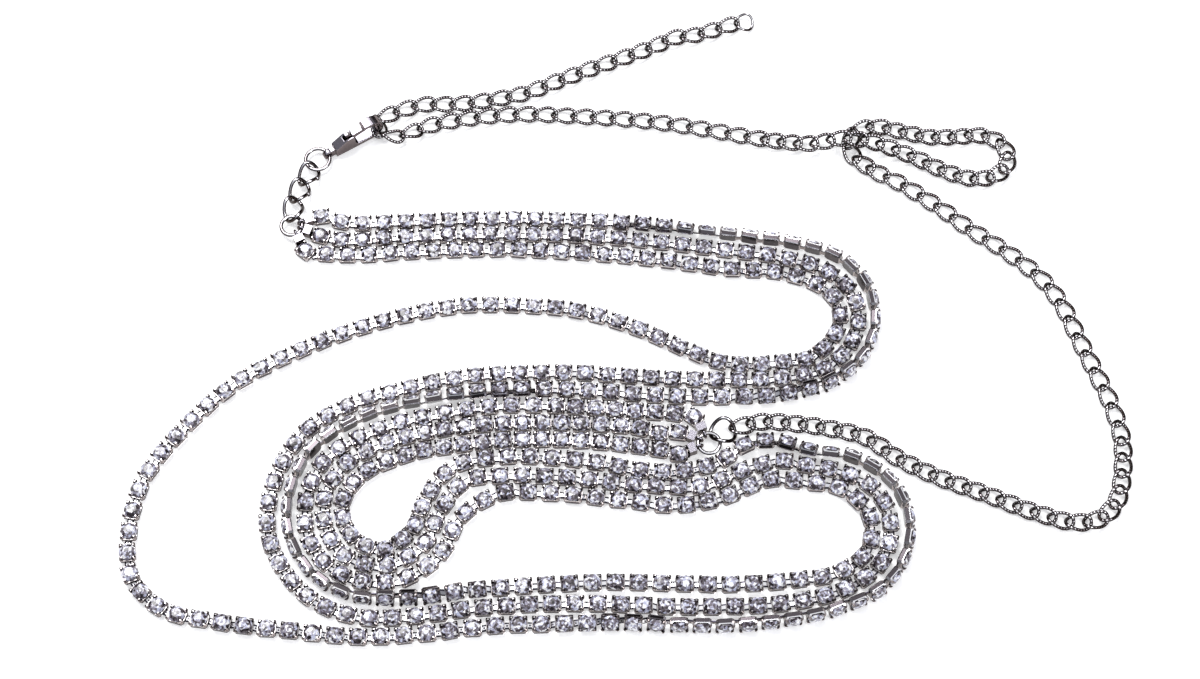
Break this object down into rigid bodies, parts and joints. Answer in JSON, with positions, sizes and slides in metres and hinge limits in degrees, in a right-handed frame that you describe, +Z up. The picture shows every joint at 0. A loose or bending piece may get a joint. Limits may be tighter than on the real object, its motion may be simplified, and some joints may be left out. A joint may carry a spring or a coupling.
{
  "type": "waist chain",
  "caption": "Multi-strand rhinestone cup-chain waist chain laid in folds, closed by a twisted-link extender chain on a lobster clasp.",
  "frame": {"origin": "centre of the laid chain's outline, on the surface it lies on", "axes": "+X along the strands towards the folds at the right, +Y away from the viewer, +Z up from the surface"},
  "size_m": [0.1986, 0.1416, 0.0054],
  "materials": {
    "silver_metal": "polished",
    "rhinestone": "faceted, foil backed, in metal cups"
  },
  "bodies": {
    "chain": {"strand_top": "rhinestone", "strand_middle": "rhinestone", "strand_bottom": "rhinestone", "start_tip_top": "silver_metal", "start_tip_middle": "silver_metal", "start_tip_bottom": "silver_metal", "end_tip_top": "silver_metal", "end_tip_middle": "silver_metal", "end_tip_bottom": "silver_metal", "start_ring": "silver_metal", "end_ring": "silver_metal", "extender_ring": "silver_metal", "clasp_ring": "silver_metal", "tail_ring": "silver_metal", "link_1": "silver_metal", "link_2": "silver_metal", "link_3": "silver_metal", "clasp_body": "silver_metal", "held_link": "silver_metal", "extender_chain": "silver_metal", "extender_tail": "silver_metal"},
    "lever": {"clasp_lever": "silver_metal"}
  },
  "joints": [
    {"name": "clasp_lever_hinge", "type": "hinge", "parent": "chain", "child": "lever", "pos_m": [-0.05844, 0.03917, 0.00297], "axis": [-0.5299, 0.848, 0], "range_deg": [0, 25], "stiffness_Nm_per_rad": 0.01}
  ]
}
